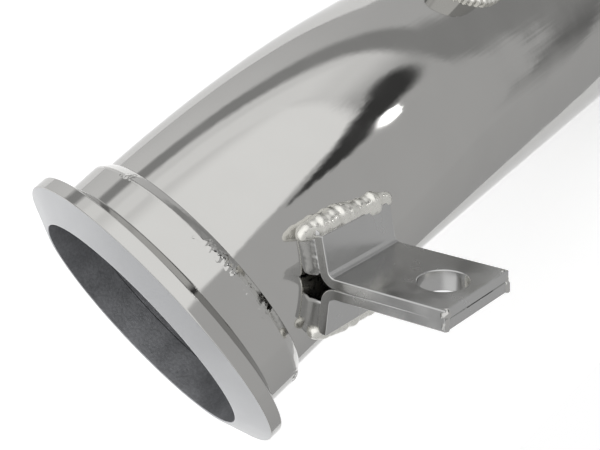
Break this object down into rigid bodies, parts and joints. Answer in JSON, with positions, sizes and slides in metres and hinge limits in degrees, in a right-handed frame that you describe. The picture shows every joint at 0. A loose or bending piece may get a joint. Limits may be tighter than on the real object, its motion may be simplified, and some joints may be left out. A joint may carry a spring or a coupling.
{
  "type": "turbo downpipe",
  "caption": "Bent stainless exhaust downpipe with a coned clamp flange at its inlet, a slanted double-plate hanger bracket and a sensor boss.",
  "frame": {"origin": "centre of the inlet bore in the plane of the flange's front lip", "axes": "+X along the inlet bore into the pipe, +Z away from the side that the bend turns to, the bracket on the -Y side"},
  "size_m": [0.4148, 0.152, 0.2907],
  "materials": {
    "polished_stainless": "mirror polished",
    "satin_stainless": "satin",
    "weld_bead": "as welded, brightened"
  },
  "bodies": {
    "root": {"inlet_flange": "satin_stainless", "downpipe_tube": "polished_stainless", "tube_welds": "weld_bead", "bracket_upper_plate": "polished_stainless", "bracket_lower_plate": "polished_stainless", "bracket_welds": "weld_bead", "sensor_boss": "polished_stainless"}
  },
  "joints": []
}
